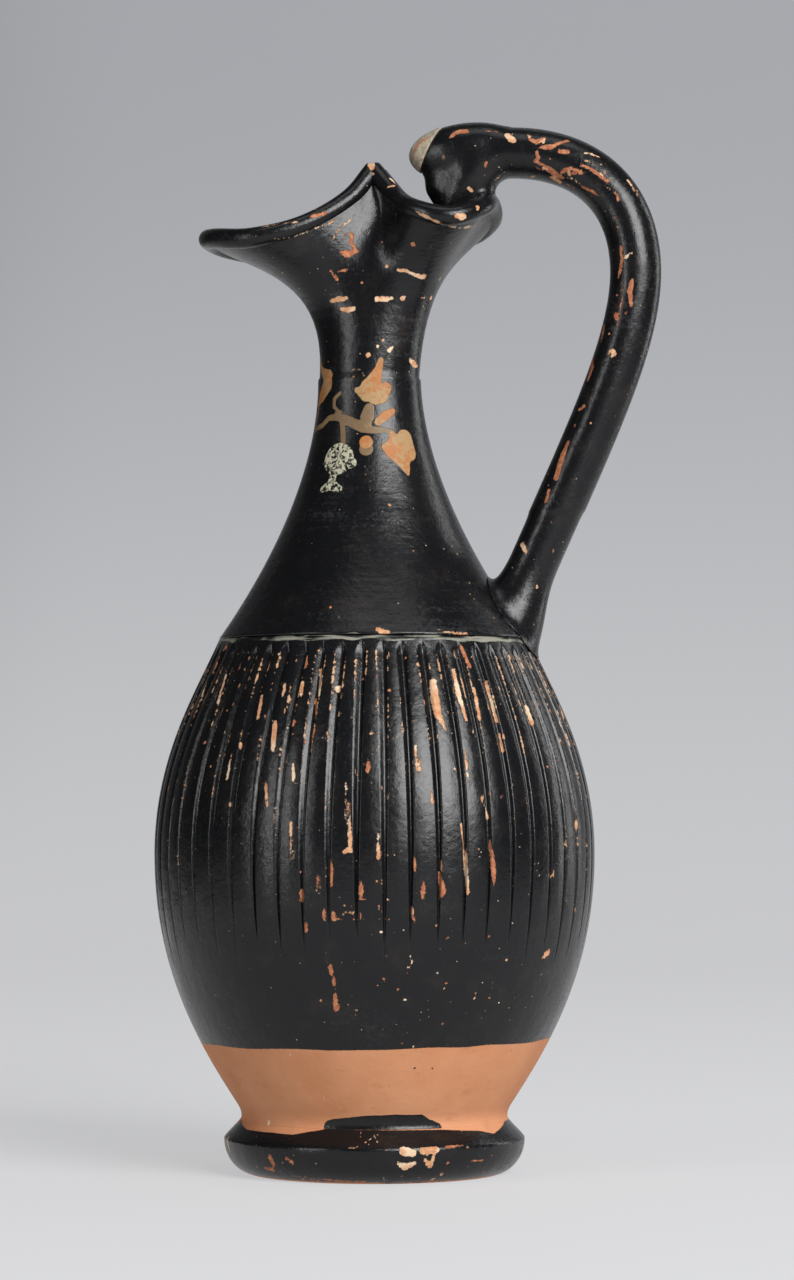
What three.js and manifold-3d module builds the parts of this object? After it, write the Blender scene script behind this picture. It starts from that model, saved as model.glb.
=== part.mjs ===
// Ribbed wine jug (oinochoe) with a trefoil mouth and a high-swung handle, thrown and luted together.
// Millimetres, +Z up. XZ is the plane of symmetry: the spout points to -X, the handle stands at +X.
import * as THREE from 'three';
import { mergeVertices } from 'three/addons/utils/BufferGeometryUtils.js';
import Module from 'manifold-3d';

// The slip between two pieces, left open as a thin joint
const slipGap = 0.3;

// Foot: a ring with a sloping top, a sharp edge and a rounded side
const footHeight = 15.3;
const footEdgeRadius = 40;
const footEdgeHeight = 9.3;
const footTopRadius = 34.9;
const footSideAngle = 15; // off the ground, where the rounded side starts
const footSideTangents = [3.5, 4.3];
const footSlopeAngles = [125, 115]; // at the edge and at the top
const footSlopeTangent = 2.2;
const standingRadius = 33.8;
const standingWidth = 6;
const footHollowDepth = 8.5;
const footHollowDraft = 4.2; // how much narrower the hollow is at its top
const seatRadius = 29;
const seatDepth = 2;

// Body: its outline is two curves that meet, upright, at the belly
const bodyHeight = 125.9;
const bellyHeight = 69;
const bellyRadius = 58.8;
const bodyFootRadius = 34.8;
const bodyFootAngle = 56.6;
const bodyFootTangent = 19;
const bellyTangentBelow = 32.5;
const bellyTangentAbove = 25.9;
const shoulderRadius = 41.6;
const shoulderAngle = 65.9;
const shoulderTangent = 15.2;
const bodyWall = 4.5;
const bodyFloor = 4.5;
const floorRadius = 24;
const floorAngle = 18; // where the wall rises from the floor

// Ribbing: narrow gouged grooves that run from below the shoulder line and fade out under the belly
const grooveCount = 52;
const grooveShare = 0.4; // of the pitch
const grooveDepth = 1.3;
const grooveTopMargin = 1.2; // plain wall above the grooves
const grooveTopTaper = 5;
const grooveFootHeight = 44; // above the foot
const grooveFootTaper = 13;

// Neck: a concave shoulder that draws in to the throat, leaning a little to the front
const neckHeight = 70.1;
const neckAngle = 54.3;
const neckTangent = 23;
const throatRadius = 13.8;
const throatTangentBelow = 24.8;
const neckWall = 4;
const boreTangent = 19.6;
const neckLean = 1.4;
const tongueHeight = 4;
const tongueWidth = 3;

// Mouth: a trefoil with three lobes; heights are above the throat, to the middle of the rolled lip
const mouthWall = 3;
const lipRadius = 2.6;
const throatTangentAbove = 27;
const lipTangent = 16;
const lipUpturn = 5;
const riseSetBack = 1.6; // the wall above the throat leans back, towards the handle
const spoutReach = 45;
const spoutHalfWidth = 18.5;
const spoutShares = [[0.38, 0.9], [0.67, 1], [0.92, 0.61]]; // of its reach and half width, along its lip
const spoutDip = 3.4; // how far its lip sags at the sides
const spoutTipRise = 37.8;
const spoutSideRise = 35.9;
const pinchHalfGap = 5.5;
const pinchRise = 55.2;
const pinchSetBack = 0.4;
const foldReaches = [5.2, 7.2]; // where the lip's two stretches have parted, beside the pinch
const foldWidthShare = 0.545;
const foldDrop = 7.9;
const sideLobeHalfWidth = 20.5;
const sideLobeRise = 40.4;
const lobeShares = [[0.43, 0.92], [0.73, 1], [0.96, 0.66]];
const lobeDips = [2.4, 3]; // towards the pinch and towards the handle
const mouthBackReach = 31;
const mouthBackRise = 46.5;

// Handle: from the shoulder up and over into the back of the mouth
const handleThickness = 13.7;
const handleWidth = 15;
const handleRootRadius = 34;
const handleRootAngle = 67;
const handleRootTangent = 50;
const handleRootSpread = 1.5; // the clay smeared wider at the root
const handleReach = 70.4;
const handleBendRise = 27.4; // above the throat, where the handle stands furthest out
const handleBendTangentBelow = 22;
const handleBendTangentAbove = 20;
const handleTopRise = 59.9;
const handleTopReach = 36;
const handleTopTangent = 21.5;
const handleEndRise = 31; // inside the mouth
const handleEndInset = 15; // from the lip's middle
const handlePressTangent = 10;
const handlePressLift = 1;
const handleEndTangent = 15;
const handleEndSlant = 6.8;
const handleEndSpread = 1.1; // where it is pressed on the lip
const handleEndTaper = 0.5; // the clay thinned out inside the mouth
const handleRootShare = 0.11; // shares of the handle's length
const handlePressShares = [0.8, 0.9];
const handleTaperShares = [0.86, 0.98];

// Terminal: the blunt nose over the mouth, with a pale cap on its slanted end
const noseLength = 17;
const noseHalfHeight = 8.1;
const noseHalfWidth = 8;
const noseDroop = 8;
const noseSetBack = 5.5; // its middle, in front of the lip at the back
const noseRise = 60;
const capSlant = 33.3;
const capLength = 5.4;

// Facets
const neckColumns = 64;
const footSegments = 56;
const cavitySegments = 36;
const footSideSteps = 5;
const footSlopeSteps = 3;
const bodyRows = [6, 5]; // under and over the belly
const cavityRows = [7, 6];
const neckRows = 6;
const mouthRows = 7;
const boreRows = 5;
const lipSteps = 24;
const lipSides = 8;
const handleSteps = 40;
const handleSides = 14;
const noseSegments = [24, 16];
const searchSteps = 200; // to find a height on a curve
const cutMargin = 1; // how far a cut runs past the solid that it opens

const bodyFootZ = footHeight + slipGap;
const bellyZ = bodyFootZ + bellyHeight;
const shoulderZ = bodyFootZ + bodyHeight;
const neckFootZ = shoulderZ + slipGap;
const throatZ = neckFootZ + neckHeight;
const deg = Math.PI / 180;

const wasm = await Module();
wasm.setup();

// Geometry helpers

function toSolid(geometry) {
  const bare = geometry.clone();
  bare.deleteAttribute('normal');
  bare.deleteAttribute('uv');
  const merged = mergeVertices(bare, 1e-4);
  const source = merged.index.array;
  const triangles = [];
  for (let i = 0; i < source.length; i += 3) {
    const [a, b, c] = source.slice(i, i + 3);
    if (a !== b && b !== c && c !== a) triangles.push(a, b, c);
  }
  return new wasm.Manifold(new wasm.Mesh({
    numProp: 3,
    vertProperties: new Float32Array(merged.attributes.position.array),
    triVerts: new Uint32Array(triangles),
  }));
}

function toGeometry(solid) {
  const mesh = solid.getMesh();
  const geometry = new THREE.BufferGeometry();
  geometry.setAttribute('position', new THREE.BufferAttribute(mesh.vertProperties, 3));
  geometry.setIndex(new THREE.BufferAttribute(mesh.triVerts, 1));
  geometry.computeVertexNormals();
  return geometry;
}

function joined(...solids) {
  return solids.reduce((whole, solid) => whole.add(solid));
}

// Rings of equal length, each counter-clockwise from above, the surface going up on the outside
function skin(rings, looped) {
  const columns = rings[0].length;
  const positions = rings.flat().flatMap((p) => [p.x, p.y, p.z]);
  const indices = [];
  const at = (ring, column) => (ring % rings.length) * columns + (column % columns);
  for (let ring = 0; ring < rings.length - (looped ? 0 : 1); ring++) {
    for (let column = 0; column < columns; column++) {
      const [a, b] = [at(ring, column), at(ring, column + 1)];
      const [c, d] = [at(ring + 1, column), at(ring + 1, column + 1)];
      indices.push(a, b, c, b, d, c);
    }
  }
  if (!looped) {
    for (const ring of [0, rings.length - 1]) {
      const middle = positions.length / 3;
      const sum = rings[ring].reduce((total, p) => total.add(p), new THREE.Vector3());
      const centre = sum.divideScalar(columns);
      positions.push(centre.x, centre.y, centre.z);
      for (let column = 0; column < columns; column++) {
        const edge = [at(ring, column), at(ring, column + 1)];
        if (ring === 0) edge.reverse();
        indices.push(middle, ...edge);
      }
    }
  }
  const geometry = new THREE.BufferGeometry();
  geometry.setAttribute('position', new THREE.Float32BufferAttribute(positions, 3));
  geometry.setIndex(indices);
  return geometry;
}

// A closed tube along a curve; sizeAt gives its half width across the curve's plane and half thickness in it
function tube(curve, steps, sides, sizeAt) {
  const frames = curve.computeFrenetFrames(steps, false);
  const rings = [];
  for (let step = 0; step <= steps; step++) {
    const centre = curve.getPointAt(step / steps);
    const [halfWidth, halfThickness] = sizeAt(step / steps);
    const ring = [];
    for (let side = 0; side < sides; side++) {
      const angle = (2 * Math.PI * side) / sides;
      ring.push(centre.clone()
        .addScaledVector(frames.normals[step], Math.cos(angle) * halfWidth)
        .addScaledVector(frames.binormals[step], Math.sin(angle) * halfThickness));
    }
    rings.push(ring);
  }
  return skin(rings, false);
}

// A lathe about Z from a closed outline of (radius, height) points
function revolved(outline, segments) {
  return new THREE.LatheGeometry(outline, segments).rotateX(Math.PI / 2);
}

function heading(angle, length) {
  return new THREE.Vector2(Math.cos(angle * deg), Math.sin(angle * deg)).multiplyScalar(length);
}

function bezier(start, startAngle, startTangent, end, endAngle, endTangent) {
  const leaving = heading(startAngle, startTangent).add(start);
  const arriving = end.clone().sub(heading(endAngle, endTangent));
  return new THREE.CubicBezierCurve(start, leaving, arriving, end);
}

// Outlines, as (radius, height)

function bodyOutline(inset) {
  const slope = 1 / Math.sin(shoulderAngle * deg);
  const foot = new THREE.Vector2(bodyFootRadius, bodyFootZ);
  const belly = new THREE.Vector2(bellyRadius - inset, bellyZ);
  const shoulder = new THREE.Vector2(shoulderRadius - inset * slope, shoulderZ);
  return {
    lower: bezier(foot, bodyFootAngle, bodyFootTangent, belly, 90, bellyTangentBelow),
    upper: bezier(belly, 90, bellyTangentAbove, shoulder, 180 - shoulderAngle, shoulderTangent),
  };
}

function neckOutline(grow) {
  return bezier(
    new THREE.Vector2(shoulderRadius + grow, neckFootZ), 180 - neckAngle, neckTangent,
    new THREE.Vector2(throatRadius + grow, throatZ), 90, throatTangentBelow,
  );
}

// Foot

function footSolid() {
  const edge = new THREE.Vector2(footEdgeRadius, footEdgeHeight);
  const side = bezier(
    new THREE.Vector2(standingRadius, 0), footSideAngle, footSideTangents[0],
    edge, 90, footSideTangents[1],
  );
  const slope = bezier(
    edge, footSlopeAngles[0], footSlopeTangent,
    new THREE.Vector2(footTopRadius, footHeight), footSlopeAngles[1], footSlopeTangent,
  );
  const hollowRadius = standingRadius - standingWidth;
  const outline = [
    new THREE.Vector2(0, footHollowDepth),
    new THREE.Vector2(hollowRadius - footHollowDraft, footHollowDepth),
    new THREE.Vector2(hollowRadius, 0),
    ...side.getPoints(footSideSteps),
    ...slope.getPoints(footSlopeSteps).slice(1),
    new THREE.Vector2(seatRadius, footHeight),
    new THREE.Vector2(seatRadius, footHeight - seatDepth),
    new THREE.Vector2(0, footHeight - seatDepth),
  ];
  return toSolid(revolved(outline, footSegments));
}

// Body

// How deep the grooves are cut at a height, from 0 to 1
function grooveFade(z) {
  const top = THREE.MathUtils.smoothstep(shoulderZ - grooveTopMargin - z, 0, grooveTopTaper);
  const bottom = THREE.MathUtils.smoothstep(z - bodyFootZ - grooveFootHeight, 0, grooveFootTaper);
  return top * bottom;
}

function ribbedWall() {
  const { lower, upper } = bodyOutline(0);
  const outline = [...lower.getPoints(bodyRows[0]), ...upper.getPoints(bodyRows[1]).slice(1)];
  const grooveHeads = [0, grooveTopTaper].map((drop) => shoulderZ - grooveTopMargin - drop);
  outline.push(...grooveHeads.map((z) => upper.getPoints(searchSteps).find((p) => p.y >= z)));
  outline.sort((a, b) => a.y - b.y);
  const pitch = (2 * Math.PI) / grooveCount;
  return outline.map(({ x: radius, y: z }) => {
    const ring = [];
    for (let groove = 0; groove < grooveCount; groove++) {
      for (const place of [-1, 0, 1]) {
        const angle = (groove + 0.5 + (place * grooveShare) / 2) * pitch;
        const reach = place === 0 ? radius - grooveDepth * grooveFade(z) : radius;
        ring.push(new THREE.Vector3(reach * Math.cos(angle), reach * Math.sin(angle), z));
      }
    }
    return ring;
  });
}

function baseBoss() {
  const radius = seatRadius - slipGap;
  const underside = footHeight - seatDepth + slipGap;
  const topZ = bodyFootZ + bodyFloor / 2;
  const boss = new THREE.CylinderGeometry(radius, radius, topZ - underside, footSegments);
  boss.rotateX(Math.PI / 2).translate(0, 0, (topZ + underside) / 2);
  return toSolid(boss);
}

function bodyCavity() {
  const { upper } = bodyOutline(bodyWall);
  const floorZ = bodyFootZ + bodyFloor;
  const mouthRadius = shoulderRadius - bodyWall / Math.sin(shoulderAngle * deg);
  const lower = bezier(
    new THREE.Vector2(floorRadius, floorZ), floorAngle, bodyFootTangent,
    new THREE.Vector2(bellyRadius - bodyWall, bellyZ), 90, bellyTangentBelow,
  );
  const outline = [
    new THREE.Vector2(0, floorZ),
    ...lower.getPoints(cavityRows[0]),
    ...upper.getPoints(cavityRows[1]).slice(1),
    new THREE.Vector2(mouthRadius, shoulderZ + cutMargin),
    new THREE.Vector2(0, shoulderZ + cutMargin),
  ];
  return toSolid(revolved(outline, cavitySegments));
}

function bodySolid() {
  return joined(toSolid(skin(ribbedWall(), false)), baseBoss()).subtract(bodyCavity());
}

// Neck and mouth

function leanAt(z) {
  return -neckLean * THREE.MathUtils.clamp((z - neckFootZ) / neckHeight, 0, 1);
}

function neckRing(radius, z) {
  const ring = [];
  for (let column = 0; column < neckColumns; column++) {
    const angle = (2 * Math.PI * column) / neckColumns;
    ring.push(new THREE.Vector3(leanAt(z) + radius * Math.cos(angle), radius * Math.sin(angle), z));
  }
  return ring;
}

// The two stretches of the lip, which meet in a fold at each pinch
function lipCurves() {
  const point = (x, y, rise) => new THREE.Vector3(x, y, throatZ + rise);
  const pinch = point(pinchSetBack, -pinchHalfGap, pinchRise);
  const half = (fold, reach, halfWidth, shares, rises) => [
    pinch,
    point(fold, -foldWidthShare * halfWidth, pinchRise - foldDrop),
    ...shares.map(([along, across], i) => point(along * reach, -across * halfWidth, rises[i])),
  ];
  const tipSideRise = (spoutSideRise + spoutTipRise) / 2;
  const spoutHalf = half(-foldReaches[0], -spoutReach, spoutHalfWidth, spoutShares, [
    spoutSideRise + spoutDip, spoutSideRise, tipSideRise,
  ]);
  const sideHalf = half(foldReaches[1], mouthBackReach, sideLobeHalfWidth, lobeShares, [
    sideLobeRise + lobeDips[0], sideLobeRise, sideLobeRise + lobeDips[1],
  ]);
  const whole = (near, middle) => {
    const far = near.map((p) => new THREE.Vector3(p.x, -p.y, p.z)).reverse();
    return new THREE.CatmullRomCurve3([...near, middle, ...far]);
  };
  const spout = whole(spoutHalf, point(-spoutReach, 0, spoutTipRise));
  const back = whole(sideHalf, point(mouthBackReach, 0, mouthBackRise));
  return { spout, back };
}

// The lip's middle above a column of the neck; the spout's stretch runs from the near pinch to the far one
function lipPoint(column, { spout, back }) {
  const quarter = neckColumns / 4;
  const onSpout = column > quarter && column < 3 * quarter;
  if (onSpout) return spout.getPointAt((3 * quarter - column) / (2 * quarter));
  return back.getPointAt(((column + quarter) % neckColumns) / (2 * quarter));
}

// The middle of the mouth's wall, ring by ring from the throat to the lip
function mouthMiddle(rows) {
  const curves = lipCurves();
  const throat = neckRing(throatRadius - neckWall / 2, throatZ);
  const sections = throat.map((start, column) => {
    const end = lipPoint(column, curves);
    const rise = start.clone().add(new THREE.Vector3(riseSetBack, 0, throatTangentAbove));
    const arrival = end.clone().sub(rise).add(new THREE.Vector3(0, 0, lipUpturn));
    arrival.setLength(lipTangent);
    return new THREE.CubicBezierCurve3(start, rise, end.clone().sub(arrival), end).getPoints(rows);
  });
  return [...Array(rows + 1).keys()].map((row) => sections.map((section) => section[row]));
}

// The same rings moved along the wall's own normals, outwards for a positive distance
function offsetRings(rings, distanceAt) {
  const last = rings.length - 1;
  return rings.map((ring, row) => ring.map((p, column) => {
    const around = ring[(column + 1) % ring.length].clone().sub(ring.at(column - 1));
    const [lower, upper] = [Math.max(row - 1, 0), Math.min(row + 1, last)];
    const up = rings[upper][column].clone().sub(rings[lower][column]);
    if (row === 0) up.set(0, 0, 1);
    return p.clone().addScaledVector(around.cross(up).normalize(), distanceAt(row / last));
  }));
}

function neckWallSolid(grow) {
  const lower = neckOutline(grow).getPoints(neckRows).slice(0, -1);
  const middle = mouthMiddle(mouthRows);
  const halfWall = (t) => THREE.MathUtils.lerp(neckWall, mouthWall, t) / 2 + grow;
  const outer = offsetRings(middle, halfWall);
  const inner = offsetRings(middle, (t) => -halfWall(t)).reverse();
  const tongueOuter = shoulderRadius - bodyWall / Math.sin(shoulderAngle * deg) - slipGap;
  const tongueInner = tongueOuter - tongueWidth;
  const boreRadius = throatRadius - neckWall - grow;
  const bore = bezier(
    new THREE.Vector2(tongueInner, shoulderZ), 180 - neckAngle, boreTangent,
    new THREE.Vector2(boreRadius, throatZ), 90, throatTangentBelow,
  ).getPoints(boreRows).slice(0, -1).reverse();
  const tongueFootZ = neckFootZ - tongueHeight;
  return toSolid(skin([
    ...lower.map((p) => neckRing(p.x, p.y)),
    ...outer,
    ...inner,
    ...bore.map((p) => neckRing(p.x, p.y)),
    neckRing(tongueInner, tongueFootZ),
    neckRing(tongueOuter, tongueFootZ),
    neckRing(tongueOuter, neckFootZ),
  ], true));
}

function lipSolid(grow) {
  const { spout, back } = lipCurves();
  const radius = lipRadius + grow;
  const roll = (curve) => toSolid(tube(curve, lipSteps, lipSides, () => [radius, radius]));
  const foldAt = (t) => {
    const ball = new THREE.IcosahedronGeometry(radius, 1);
    const place = spout.getPointAt(t);
    return toSolid(ball.translate(place.x, place.y, place.z));
  };
  return joined(roll(spout), roll(back), foldAt(0), foldAt(1));
}

function neckSolid(grow) {
  return joined(neckWallSolid(grow), lipSolid(grow));
}

// What the handle is pressed against: the neck and shoulder, filled, and the open mouth
function handleSeat() {
  const shoulder = bodyOutline(-slipGap).upper.getPoints(bodyRows[1]);
  const neck = neckOutline(slipGap).getPoints(neckRows).slice(1);
  const filled = skin([...shoulder, ...neck].map((p) => neckRing(p.x, p.y)), false);
  return joined(toSolid(filled), neckSolid(slipGap));
}

// Handle and its terminal

function handleCurve() {
  const at = (x, z) => new THREE.Vector3(x, 0, z);
  const root = at(handleRootRadius, shoulderZ);
  const bend = at(handleReach, throatZ + handleBendRise);
  const top = at(handleTopReach, throatZ + handleTopRise);
  const end = at(mouthBackReach - handleEndInset, throatZ + handleEndRise);
  const lean = at(Math.cos(handleRootAngle * deg), Math.sin(handleRootAngle * deg));
  const curve = new THREE.CurvePath();
  curve.add(new THREE.CubicBezierCurve3(
    root, root.clone().addScaledVector(lean, handleRootTangent),
    bend.clone().add(at(0, -handleBendTangentBelow)), bend,
  ));
  curve.add(new THREE.CubicBezierCurve3(
    bend, bend.clone().add(at(0, handleBendTangentAbove)),
    top.clone().add(at(handleTopTangent, 0)), top,
  ));
  curve.add(new THREE.CubicBezierCurve3(
    top, top.clone().add(at(-handlePressTangent, handlePressLift)),
    end.clone().add(at(handleEndSlant, handleEndTangent)), end,
  ));
  return curve;
}

function handleTube(grow) {
  const { lerp, smoothstep } = THREE.MathUtils;
  const spreadAt = (t) => {
    const root = lerp(handleRootSpread, 1, smoothstep(t, 0, handleRootShare));
    const press = lerp(1, handleEndSpread, smoothstep(t, ...handlePressShares));
    return root * press * lerp(1, handleEndTaper, smoothstep(t, ...handleTaperShares));
  };
  return toSolid(tube(handleCurve(), handleSteps, handleSides, (t) => [
    (spreadAt(t) * handleWidth) / 2 + grow,
    (spreadAt(t) * handleThickness) / 2 + grow,
  ]));
}

function nose() {
  const egg = new THREE.SphereGeometry(1, ...noseSegments).rotateX(Math.PI / 2);
  egg.scale(noseLength, noseHalfWidth, noseHalfHeight).rotateY(-noseDroop * deg);
  return toSolid(egg.translate(mouthBackReach - noseSetBack, 0, throatZ + noseRise));
}

// The half space in front of the slanted joint between nose and cap, as a block
function capSide(gap) {
  const size = 4 * noseLength;
  const block = new THREE.BoxGeometry(size, size, size).translate(-size / 2 - gap, 0, 0);
  block.rotateY(capSlant * deg);
  const tipX = mouthBackReach - noseSetBack - noseLength;
  return toSolid(block.translate(tipX + capLength, 0, throatZ + noseRise));
}

function handleSolid() {
  return joined(handleTube(0), nose()).subtract(handleSeat()).subtract(capSide(0));
}

function capSolid() {
  return nose().intersect(capSide(slipGap)).subtract(handleTube(slipGap));
}

// Assembly

function piece(name, solid, color, roughness) {
  const material = new THREE.MeshStandardMaterial({ color, roughness, metalness: 0 });
  const mesh = new THREE.Mesh(toGeometry(solid), material);
  mesh.name = name;
  return mesh;
}

const jug = new THREE.Group();
jug.add(piece('foot', footSolid(), 0x17181a, 0.4));
jug.add(piece('body', bodySolid(), 0x1a1b1d, 0.35));
jug.add(piece('neck', neckSolid(0), 0x1a1b1d, 0.35));
jug.add(piece('handle', handleSolid(), 0x1a1b1d, 0.38));
jug.add(piece('handle_cap', capSolid(), 0xb9ac92, 0.8));

// The origin is the middle of the box on the surface that the jug stands on
const box = new THREE.Box3().setFromObject(jug);
jug.position.x = -(box.min.x + box.max.x) / 2;

export default jug;
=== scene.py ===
import math
import random
import bmesh
import bpy
import numpy as np
from mathutils import Matrix, Vector, geometry, noise
from mathutils.bvhtree import BVHTree


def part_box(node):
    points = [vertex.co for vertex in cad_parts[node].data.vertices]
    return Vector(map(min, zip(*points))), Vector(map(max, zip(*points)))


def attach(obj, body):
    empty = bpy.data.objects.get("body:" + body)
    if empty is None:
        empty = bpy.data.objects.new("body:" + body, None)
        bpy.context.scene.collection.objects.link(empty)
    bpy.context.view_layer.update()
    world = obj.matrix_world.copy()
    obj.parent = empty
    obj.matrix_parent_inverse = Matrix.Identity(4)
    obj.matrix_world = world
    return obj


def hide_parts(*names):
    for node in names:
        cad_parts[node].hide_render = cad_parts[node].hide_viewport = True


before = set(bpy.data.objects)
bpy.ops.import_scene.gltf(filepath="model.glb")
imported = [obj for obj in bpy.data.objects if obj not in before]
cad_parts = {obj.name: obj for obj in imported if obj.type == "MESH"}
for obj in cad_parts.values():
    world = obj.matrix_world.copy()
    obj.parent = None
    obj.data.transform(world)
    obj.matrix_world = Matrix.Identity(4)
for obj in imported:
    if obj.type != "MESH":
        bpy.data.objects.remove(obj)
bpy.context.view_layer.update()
mm = 0.001
deg = math.pi / 180
footLow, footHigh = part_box("foot")
axisX = (footLow.x + footHigh.x) / 2  # the wheel's axis; shapes are worked out round it, in millimetres

# Camera, floor and lights

view = {
    "picture": (794, 1280),
    "azimuth": 8,            # degrees round from the side view, towards the handle
    "distance": 1070,        # from the jug's axis, mm
    "height": 104.6,
    "aimRight": 6,           # the picture's centre beside the axis, mm
    "aimHeight": 141.6,
    "lens": 75,
    "sensorHeight": 24,
}


def placed(x, y, z):
    return Vector((x * mm + axisX, y * mm, z * mm))


def shown(name, data):
    item = bpy.data.objects.new(name, data)
    bpy.context.scene.collection.objects.link(item)
    return item


def aimed(item, spot):
    item.rotation_euler = (spot - item.location).to_track_quat("-Z", "Y").to_euler()


def meshOf(form, name):
    mesh = bpy.data.meshes.new(name)
    form.to_mesh(mesh)
    return mesh


def makeCamera():
    turn = view["azimuth"] * deg
    lens = bpy.data.cameras.new("mainView")
    lens.sensor_fit = "VERTICAL"
    lens.sensor_height = view["sensorHeight"]
    lens.lens = view["lens"]
    camera = shown("mainView", lens)
    ahead = Vector((math.sin(turn), -math.cos(turn), 0)) * view["distance"]
    camera.location = placed(ahead.x, ahead.y, view["height"])
    right = Vector((math.cos(turn), math.sin(turn), 0)) * view["aimRight"]
    aimed(camera, placed(right.x, right.y, view["aimHeight"]))
    bpy.context.scene.camera = camera
    bpy.context.view_layer.update()
    return camera


camera = makeCamera()
print("camera made")


# Shader nodes as expressions

class Wire:
    def __init__(self, finish, socket):
        self.finish = finish
        self.socket = socket

    def calc(self, operation, *others):
        values = {0: self}
        values.update({place + 1: other for place, other in enumerate(others)})
        return self.finish.add("ShaderNodeMath", {"operation": operation}, values)

    def __add__(self, other):
        return self.calc("ADD", other)

    def __radd__(self, other):
        return self.calc("ADD", other)

    def __sub__(self, other):
        return self.calc("SUBTRACT", other)

    def __mul__(self, other):
        return self.calc("MULTIPLY", other)

    def ramp(self, low, high):
        # 0 below low, 1 above high, smooth between
        values = {"Value": self, "From Min": low, "From Max": high}
        return self.finish.add("ShaderNodeMapRange", {"interpolation_type": "SMOOTHSTEP"}, values)

    def atLeast(self, other):
        return self.calc("MAXIMUM", other)


class Finish:
    def __init__(self, name):
        self.material = bpy.data.materials.new(name)
        self.material.use_nodes = True
        self.tree = self.material.node_tree
        self.tree.nodes.clear()
        coords = self.add("ShaderNodeTexCoord", output="Object")
        centre = {"Location": (-axisX / mm, 0, 0), "Scale": (1 / mm,) * 3}
        self.place = self.add("ShaderNodeMapping", {}, {"Vector": coords, **centre})  # mm from the axis

    def add(self, kind, settings=None, values=None, output=0):
        node = self.tree.nodes.new(kind)
        for key, value in (settings or {}).items():
            setattr(node, key, value)
        for key, value in (values or {}).items():
            socket = node.inputs[key]
            if isinstance(value, Wire):
                self.tree.links.new(value.socket, socket)
            else:
                socket.default_value = value
        return Wire(self, node.outputs[output])

    def noise(self, size, detail=3.0, rough=0.55, stretch=(1, 1, 1), offset=0.0):
        # noise from 0 to 1 with features of about this many millimetres
        scale = tuple(axis / size for axis in stretch)
        spot = {"Vector": self.place, "Scale": scale, "Location": (offset, offset, offset)}
        vector = self.add("ShaderNodeMapping", {}, spot)
        values = {"Vector": vector, "Scale": 1.0, "Detail": detail, "Roughness": rough}
        return self.add("ShaderNodeTexNoise", {}, values)

    def flecks(self, spacing, radius, share, offset=0.0, stretch=(1, 1, 1)):
        # 1 inside round spots, which stand in this share of the cells
        spot = {"Vector": self.place, "Location": (offset, offset, offset), "Scale": stretch}
        vector = self.add("ShaderNodeMapping", {}, spot)
        values = {"Vector": vector, "Scale": 1 / spacing, "Randomness": 1.0}
        gap = self.add("ShaderNodeTexVoronoi", {}, values, "Distance")
        cell = self.add("ShaderNodeTexVoronoi", {}, values, "Color")
        chance = self.add("ShaderNodeSeparateColor", {}, {"Color": cell}, "Red")
        size = self.add("ShaderNodeSeparateColor", {}, {"Color": cell}, "Green")
        reach = (size * 0.8 + 0.4) * (radius / spacing)
        inside = (reach - gap).ramp(0.0, 0.25 * radius / spacing)
        return inside * (chance - (1 - share)).ramp(0.0, 0.01)

    def field(self, name):
        return self.add("ShaderNodeAttribute", {"attribute_name": name}, {}, "Fac")

    def mixed(self, amount, first, second):
        values = {0: amount, 6: first, 7: second}
        return self.add("ShaderNodeMix", {"data_type": "RGBA"}, values, 2)

    def finished(self, values, height, reach=mm):
        bump = self.add("ShaderNodeBump", {}, {"Height": height, "Distance": reach, "Strength": 1.0})
        shader = self.add("ShaderNodeBsdfPrincipled", {}, {"Normal": bump, **values})
        output = self.tree.nodes.new("ShaderNodeOutputMaterial")
        self.tree.links.new(shader.socket, output.inputs["Surface"])
        return self.material


studio = {
    "paperTone": (0.20, 0.20, 0.205, 1),
    "floorGlow": (0.54, 0.54, 0.545, 1),     # painted light: the backdrop glows brightest on the floor, as if lit by lamps of its own
    "wallGlow": (0.26, 0.27, 0.29, 1),
    "sideGlow": (0.03, 0.03, 0.032, 1),
    "fadeUp": (-250, 650),      # heights between which the floor's glow becomes the wall's, mm
    "fadeOut": (420, 1000),  # distances to either side between which it dies away
    "roomLight": 0.035,
    "lampAim": 130,
    "lamps": {
        # degrees round from the camera, to the right; distance and height, size in mm, power in watts
        "keySoftbox": (34, 1500, 850, (1000, 1000), 43.0),
        "leftSoftbox": (-50, 1350, 380, (150, 900), 5.0),
        "rightStrip": (120, 1100, 350, (140, 1000), 2.2),
        "topSoftbox": (10, 300, 1500, (900, 500), 2.5),
    },
}


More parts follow.
